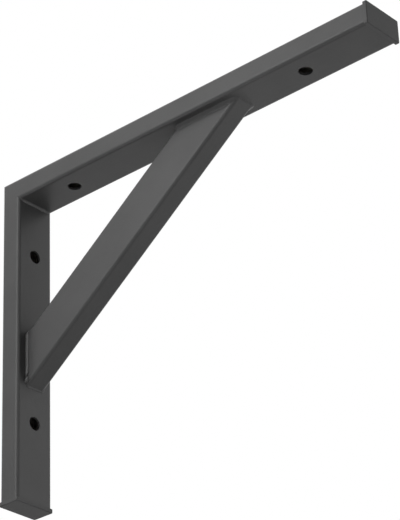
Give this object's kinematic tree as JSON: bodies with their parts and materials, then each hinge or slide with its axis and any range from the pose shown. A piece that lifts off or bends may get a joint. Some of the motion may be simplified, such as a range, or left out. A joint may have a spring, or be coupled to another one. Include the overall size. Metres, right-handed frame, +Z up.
{
  "type": "shelf bracket",
  "caption": "Heavy welded shelf bracket of rectangular steel tube: a mitred arm and leg, a sloping brace between them, screw holes through both and plastic plugs in the ends.",
  "frame": {"origin": "middle of the bracket's top corner, where the wall plane at the back of the leg meets the shelf plane on top of the arm", "axes": "+X out from the wall along the arm, +Y across the bracket, +Z up against the shelf, so the leg runs down along -Z"},
  "size_m": [0.4042, 0.0414, 0.3042],
  "materials": {
    "painted_steel": "dark grey powder coat on mild steel tube, satin with a fine orange peel",
    "cap_plastic": "dark grey moulded polyethylene, fine matte grain"
  },
  "bodies": {
    "root": {"arm_tube": "painted_steel", "leg_tube": "painted_steel", "brace_tube": "painted_steel", "corner_weld": "painted_steel", "brace_foot_weld": "painted_steel", "brace_top_weld": "painted_steel", "arm_end_cap": "cap_plastic", "leg_end_cap": "cap_plastic"}
  },
  "joints": []
}
